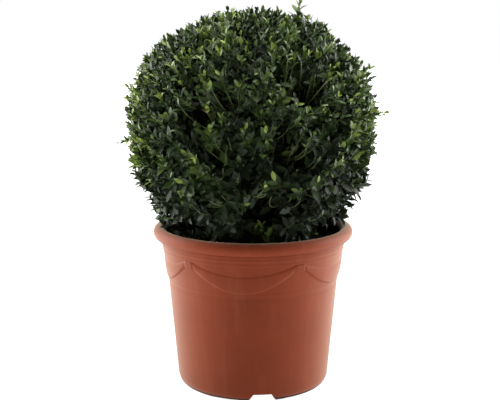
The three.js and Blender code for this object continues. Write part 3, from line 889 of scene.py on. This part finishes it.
def crown_sprigs(ends):
    """Sprigs whose tips lie on the clipped surface, in small domed sprays, and more of them further in."""
    domes = even_directions(DOMES, 0.35)
    rise_of_dome = RNG.standard_normal(len(domes)) * DOME_RISE
    tone_of_dome = RNG.standard_normal(len(domes)) * DOME_TONE
    feet, tips, lean, tones, sizes = [], [], [], [], []
    for count, depth_low, depth_high, tone, size in LAYERS:
        ways = even_directions(count, 0.5)
        dome = nearest(ways, domes)
        off = np.linalg.norm(ways - domes[dome], axis=1) * RADIUS
        sunk = np.clip(off / DOME_RADIUS, 0, 1.3) ** 2
        depth = RNG.uniform(depth_low, depth_high, count) + 10 * sunk - rise_of_dome[dome]
        tip = BALL + ways * (ball_reach(ways) - depth)[:, None]
        keep = ~in_hollow(tip) & ~in_pit(tip) & (tip[:, 2] > LOWEST_TIP) & clear_of_pot(tip)
        keep &= RNG.random(count) < fullness(tip)
        ways, tip, dome, sunk = ways[keep], tip[keep], dome[keep], sunk[keep]
        up = np.outer(1.15 - 0.55 * smooth_step(ways[:, 2], -0.2, 0.6), [0, 0, 1])
        way = unit(0.75 * ways + 0.25 * domes[dome] + up + 0.3 * RNG.standard_normal(ways.shape))
        feet.append(ends[nearest(tip - way * SPRIG_LENGTH, ends)])
        tips.append(tip)
        lean.append(way)
        # Painted shade between the sprays, darker towards a dome's edge, added to the painted light and shade
        # of the place.
        of_place = tone + painted_light_of_place(ways, tip) + tone_of_dome[dome] + 0.2 - 0.5 * sunk
        tones.append(of_place + 0.55 * RNG.standard_normal(len(tip)))
        larger_low = 1.2 - 0.22 * smooth_step(tip[:, 2], 400, 520)
        sizes.append(size * RNG.uniform(0.84, 1.1, len(tip)) * larger_low)
    return Sprigs(*(np.concatenate(part) for part in (feet, tips, lean, tones, sizes)))


# Young sprigs low in the front, and the place, in plan, where the leaves of tufts are lighter: painted light.
FRONT_SPRIGS = 10
LIGHT_MIDDLE, LIGHT_RADIUS = (17, -104), 42


def front_sprigs():
    """Feet, tips and leans of the young sprigs in the front tuft."""
    low, high = box_mm("tuft_front")
    tips = (low + high) / 2 + RNG.uniform([-20, -50, 8], [20, -26, 30], (FRONT_SPRIGS, 3))
    feet = tips - RNG.uniform([-6, -24, 36], [6, -12, 44], (FRONT_SPRIGS, 3))
    leans = unit(RNG.uniform([-0.5, -0.6, 0.8], [0.5, 0.1, 1.0], (FRONT_SPRIGS, 3)))
    return feet, tips, leans


def tuft_sprigs():
    """Sprigs in the low tufts round the foot."""
    rows = []
    for node, count in zip(TUFT_NODES, TUFTS.values()):
        low, high = box_mm(node)
        ways = even_directions(count * 2, 0.5)
        ways = ways[ways[:, 2] > -0.25][:count]
        middle = (low + high) / 2
        tips = middle + ways * (high - low) / 2 * RNG.uniform(0.75, 1.1, (len(ways), 1))
        leans = unit(ways + [0, 0, 0.6] + 0.35 * RNG.standard_normal(ways.shape))
        keep = clear_of_pot(tips) & ~in_hollow(tips, 0.85)
        feet = np.broadcast_to(middle, tips.shape)[keep] + RNG.uniform(-6, 6, (keep.sum(), 3))
        rows.append((feet, tips[keep], leans[keep]))
    rows.append(front_sprigs())
    feet, tips, leans = (np.concatenate(part) for part in zip(*rows))
    # Leaves of tufts near the front middle are lifted in tone as painted light.
    lit = np.hypot(tips[:, 0] - LIGHT_MIDDLE[0], tips[:, 1] - LIGHT_MIDDLE[1]) < LIGHT_RADIUS
    tones = RNG.standard_normal(len(tips)) * 0.6 - 0.5 + 1.5 * lit
    return Sprigs(feet, tips, leans, tones, np.full(len(tips), 1.05))


# Each shoot: how many sprigs, how far apart, how steep, the gap between pairs of leaves, and leaf size.
SHOOTS = {
    "shoot_top": (2, 3.5, 1.0, 8.5, 0.95),
    "shoot_upper_right": (3, 6.0, 1.7, 10.0, 1.1),
    "shoot_right": (2, 4.0, 0.0, 7.0, 0.8),
    "shoot_left": (2, 4.0, 0.0, 7.0, 0.8),
}
SHOOT_LENGTH = 48


def shoot_sprigs():
    """The shoots that stand out of the clipped surface, in the CAD's own boxes."""
    tips, ways, gaps, sizes = [], [], [], []
    for node, (count, spread, rise, gap, size) in SHOOTS.items():
        low, high = box_mm(node)
        middle = (low + high) / 2
        way = unit(unit(middle - BALL) + [0, 0, rise])
        reach = np.linalg.norm(high - low)
        for number in range(count):
            tips.append(middle + way * reach * (0.38 - 0.16 * number) + spread * RNG.uniform(-1, 1, 3))
            ways.append(unit(way + 0.12 * RNG.standard_normal(3)))
            gaps.append(gap)
            sizes.append(size)
    tips, ways = np.array(tips), np.array(ways)
    tones = 1.3 + 0.4 * RNG.standard_normal(len(tips))
    feet = tips - ways * SHOOT_LENGTH - [0, 0, 4]
    return Sprigs(feet, tips, ways, tones, np.array(sizes), np.array(gaps)[:, None])


# Each tone of leaf: name, base colour, roughness, specular, and the lowest tone that takes it. The tones hold
# the leaves' own differing colours and also the painted light and shade in the sprigs' tones.
TONES = (
    ("deep", (0.012, 0.019, 0.008), 0.50, 0.15, -9.0),
    ("dark", (0.022, 0.038, 0.011), 0.44, 0.25, -0.8),
    ("middle", (0.043, 0.077, 0.016), 0.40, 0.37, 0.25),
    ("light", (0.092, 0.148, 0.027), 0.42, 0.40, 1.05),
    ("fresh", (0.205, 0.275, 0.048), 0.46, 0.38, 1.9),
)
HIGHEST_TONE = 99.0
PIECE_TRIANGLES = 190000
STANDS_FOR = {"leaves_dark_1": MASS_NODES + TUFT_NODES, "leaves_fresh_1": list(SHOOTS)}


def tones_of(sprigs, leaves):
    """Each leaf's tone: near its sprig's, and lighter at the tips of nearly half of the sprigs."""
    owner = leaves["owner"]
    tone = sprigs.tones[owner] + 0.35 * RNG.standard_normal(len(owner))
    growing = RNG.random(len(sprigs.tips)) < 0.45
    young = 1 - smooth_step(leaves["age"], 0.1, 0.45)
    return tone + 1.9 * young * growing[owner] - 0.1


def clipped(leaf, tone):
    """The leaves that are clear of the pot and, apart from a few, of the dark pits."""
    tip = leaf["foot"] + leaf["axis"] * leaf["length"][:, None]
    keep = clear_of_pot(tip) & clear_of_pot(leaf["foot"] + 0.5 * (tip - leaf["foot"]))
    keep &= ~(in_pit(tip) | in_pit(leaf["foot"])) | (RNG.random(len(keep)) < 0.07)
    keep &= RNG.random(len(keep)) > 0.06
    return {key: value[keep] for key, value in leaf.items()}, tone[keep]


def make_leaves(sets):
    """All leaves, joined in pieces of one tone each."""
    parts = [leaves_of(sprigs) for sprigs in sets]
    tone = np.concatenate([tones_of(sprigs, part) for sprigs, part in zip(sets, parts)])
    keys = ("foot", "axis", "normal", "length")
    leaf = {key: np.concatenate([part[key] for part in parts]) for key in keys}
    leaf, tone = clipped(leaf, tone)
    above = [low for *_, low in TONES[1:]] + [HIGHEST_TONE]
    for (name, color, roughness, specular, low), high in zip(TONES, above):
        material = leaf_material("leaf_" + name, color, roughness, specular)
        chosen = np.flatnonzero((tone >= low) & (tone < high))
        pieces = max(1, math.ceil(len(chosen) * LEAF_TRIANGLES / PIECE_TRIANGLES))
        for number, rows in enumerate(np.array_split(chosen, pieces)):
            length = leaf["length"][rows]
            width = length * RNG.uniform(0.38, 0.5, len(rows))
            curl = RNG.uniform(-0.02, 0.2, len(rows))
            fold = RNG.uniform(0.1, 0.5, len(rows))
            points, faces = leaf_mesh(
                leaf["foot"][rows], leaf["axis"][rows], leaf["normal"][rows], length, width, curl, fold
            )
            piece = f"leaves_{name}_{number + 1}"
            place(object_from_arrays(piece, points, faces), [material], STANDS_FOR.get(piece, ()))


LIMBS, LIMB_REACH, LOWEST_LIMB = 110, 0.62, 285
LIMB_STEPS, BRANCHLET_STEPS, TWIG_STEPS = 7, 6, 6


def make_branchlets(bark, ends):
    """Limbs that fork from the boughs, and the branchlets from those to the sprays."""
    ways = even_directions(LIMBS, 0.3)
    owner = np.argmax(ways @ DIRECTIONS.T, axis=1)
    tips = BALL + ways * (LIMB_REACH * ball_reach(ways))[:, None]
    keep = (tips[:, 2] > LOWEST_LIMB) & ~in_hollow(tips, 1.1)
    owner, tips = owner[keep], tips[keep]
    start = bough_tips()[owner] - DIRECTIONS[owner] * RNG.uniform(0, 40, (len(owner), 1))
    middle = start + 0.5 * (tips - start) + DIRECTIONS[owner] * 10
    paths = curve_points(start, middle, tips, LIMB_STEPS)
    limbs = barked(paths, tapering(2.4, 1.5, LIMB_STEPS, len(paths)), 6, 0.05)
    start = tips[nearest(ends, tips)]
    middle = start + 0.5 * (ends - start) + unit(ends - BALL) * 6
    paths = curve_points(start, middle, ends, BRANCHLET_STEPS)
    branchlets = barked(paths, tapering(1.5, 0.95, BRANCHLET_STEPS, len(paths)), 5, 0.05)
    points, faces = joined([limbs, branchlets])
    place(object_from_arrays("branchlets", points, faces), [bark])


def green_twig_material():
    """The smooth green skin of young twigs."""
    material, shader = new_material("green_twig", (0.095, 0.115, 0.034), 0.55)
    grain = object_noise(material, 200, 4)
    bump(material, shader, grain.outputs["Fac"], 0.3, 0.0008)
    return material


def make_sprig_twigs(sets):
    """The twigs of the sprigs, in two pieces."""
    green = green_twig_material()
    along = np.linspace(0, 1, TWIG_STEPS)[None]
    paths = np.concatenate([sprigs.at(np.repeat(along, len(sprigs.tips), axis=0))[0] for sprigs in sets])
    for number, part in enumerate(np.array_split(paths, 2)):
        points, faces = tubes(part, tapering(1.1, 0.55, TWIG_STEPS, len(part)), 4)
        place(object_from_arrays(f"sprig_twigs_{number + 1}", points, faces), [green])


def make_shrub():
    """The leaves and all the wood. The order of the steps is the order of the random draws."""
    ends = spray_ends()
    sets = (crown_sprigs(ends), tuft_sprigs(), shoot_sprigs())
    make_leaves(sets)
    bark = bark_material()
    make_branchlets(bark, ends)
    make_sprig_twigs(sets)
    make_trunk(bark)
    make_boughs(bark)


# ---- camera, light and floor

SENSOR_WIDTH, LENS = 36, 73.1
CAMERA_PLACE = (-0.0052, -1.70, 0.613)
CAMERA_DIP = 9.98


def make_camera():
    """A camera in front of the plant, looking a little down."""
    data = bpy.data.cameras.new("camera")
    data.sensor_width = SENSOR_WIDTH
    data.lens = LENS
    camera = bpy.data.objects.new("camera", data)
    camera.location = CAMERA_PLACE
    camera.rotation_euler = (math.radians(90 - CAMERA_DIP), 0, 0)
    bpy.context.collection.objects.link(camera)
    bpy.context.scene.camera = camera


def softbox(name, place_at, aim, width, height, power):
    """A rectangular lamp turned towards a point."""
    data = bpy.data.lights.new(name, "AREA")
    data.shape = "RECTANGLE"
    data.size, data.size_y = width, height
    data.energy = power
    lamp = bpy.data.objects.new(name, data)
    lamp.location = place_at
    lamp.rotation_euler = (Vector(aim) - Vector(place_at)).to_track_quat("-Z", "Y").to_euler()
    bpy.context.collection.objects.link(lamp)


def make_world():
    """White light that is dim from the front and bright from behind."""
    world = bpy.data.worlds.new("studio")
    world.use_nodes = True
    nodes, links = world.node_tree.nodes, world.node_tree.links
    direction = nodes.new("ShaderNodeTexCoord")
    parts = nodes.new("ShaderNodeSeparateXYZ")
    shade = nodes.new("ShaderNodeMapRange")
    shade.interpolation_type = "SMOOTHSTEP"
    limits = {"From Min": -0.1, "From Max": 0.75, "To Min": 0.05, "To Max": 0.94}
    for name, value in limits.items():
        shade.inputs[name].default_value = value
    background = nodes["Background"]
    links.new(direction.outputs["Generated"], parts.inputs["Vector"])
    links.new(parts.outputs["Y"], shade.inputs["Value"])
    links.new(shade.outputs["Result"], background.inputs["Strength"])
    background.inputs["Color"].default_value = (1, 1, 1, 1)
    bpy.context.scene.world = world
    bpy.context.scene.view_settings.view_transform = "Standard"


FLOOR_RADIUS, BACKDROP_RADIUS = 12000, 11990


def make_backdrop():
    """A white dome round the floor, which the camera sees and the light passes."""
    bm = bmesh.new()
    bmesh.ops.create_uvsphere(bm, u_segments=48, v_segments=24, radius=BACKDROP_RADIUS)
    bmesh.ops.reverse_faces(bm, faces=bm.faces)
    dome = object_from_bmesh("backdrop", bm)
    white, shader = new_material("white_backdrop", (0, 0, 0), 1.0, 0.0)
    shader.inputs["Emission Color"].default_value = (1, 1, 1, 1)
    shader.inputs["Emission Strength"].default_value = 1.0
    dome.data.materials.append(white)
    dome.visible_diffuse = False
    dome.visible_glossy = False
    dome.visible_transmission = False
    dome.visible_shadow = False


def floor_material():
    """A pale floor that glows more to the left and the right of the pot."""
    material, shader = new_material("pale_floor", (0.20, 0.20, 0.20), 0.9, 0.1)
    coordinates = add_node(material, "ShaderNodeTexCoord")
    parts = add_node(material, "ShaderNodeSeparateXYZ")
    aside = add_node(material, "ShaderNodeMath", operation="ABSOLUTE")
    link(material, coordinates.outputs["Object"], parts.inputs["Vector"])
    link(material, parts.outputs["X"], aside.inputs[0])
    glow = map_range(material, aside.outputs["Value"], 0.15, 0.65, 0.98, 1.95)
    shader.inputs["Emission Color"].default_value = (1, 1, 1, 1)
    link(material, glow, shader.inputs["Emission Strength"])
    return material


def make_stage():
    """The floor, the backdrop and the lamps."""
    bm = bmesh.new()
    bmesh.ops.create_circle(bm, cap_ends=True, segments=64, radius=FLOOR_RADIUS)
    floor = object_from_bmesh("floor", bm)
    floor.data.materials.append(floor_material())
    make_backdrop()
    softbox("softbox_left", (-1.45, 0.3, 0.75), (0, 0, 0.35), 1.5, 1.5, 46)
    softbox("softbox_right", (1.45, 0.3, 0.75), (0, 0, 0.35), 1.5, 1.5, 46)
    softbox("softbox_top", (0, -0.08, 2.0), (0, 0, 0.4), 1.2, 1.0, 35)


make_camera()
make_world()
make_stage()
make_pot()
make_compost()
make_shrub()
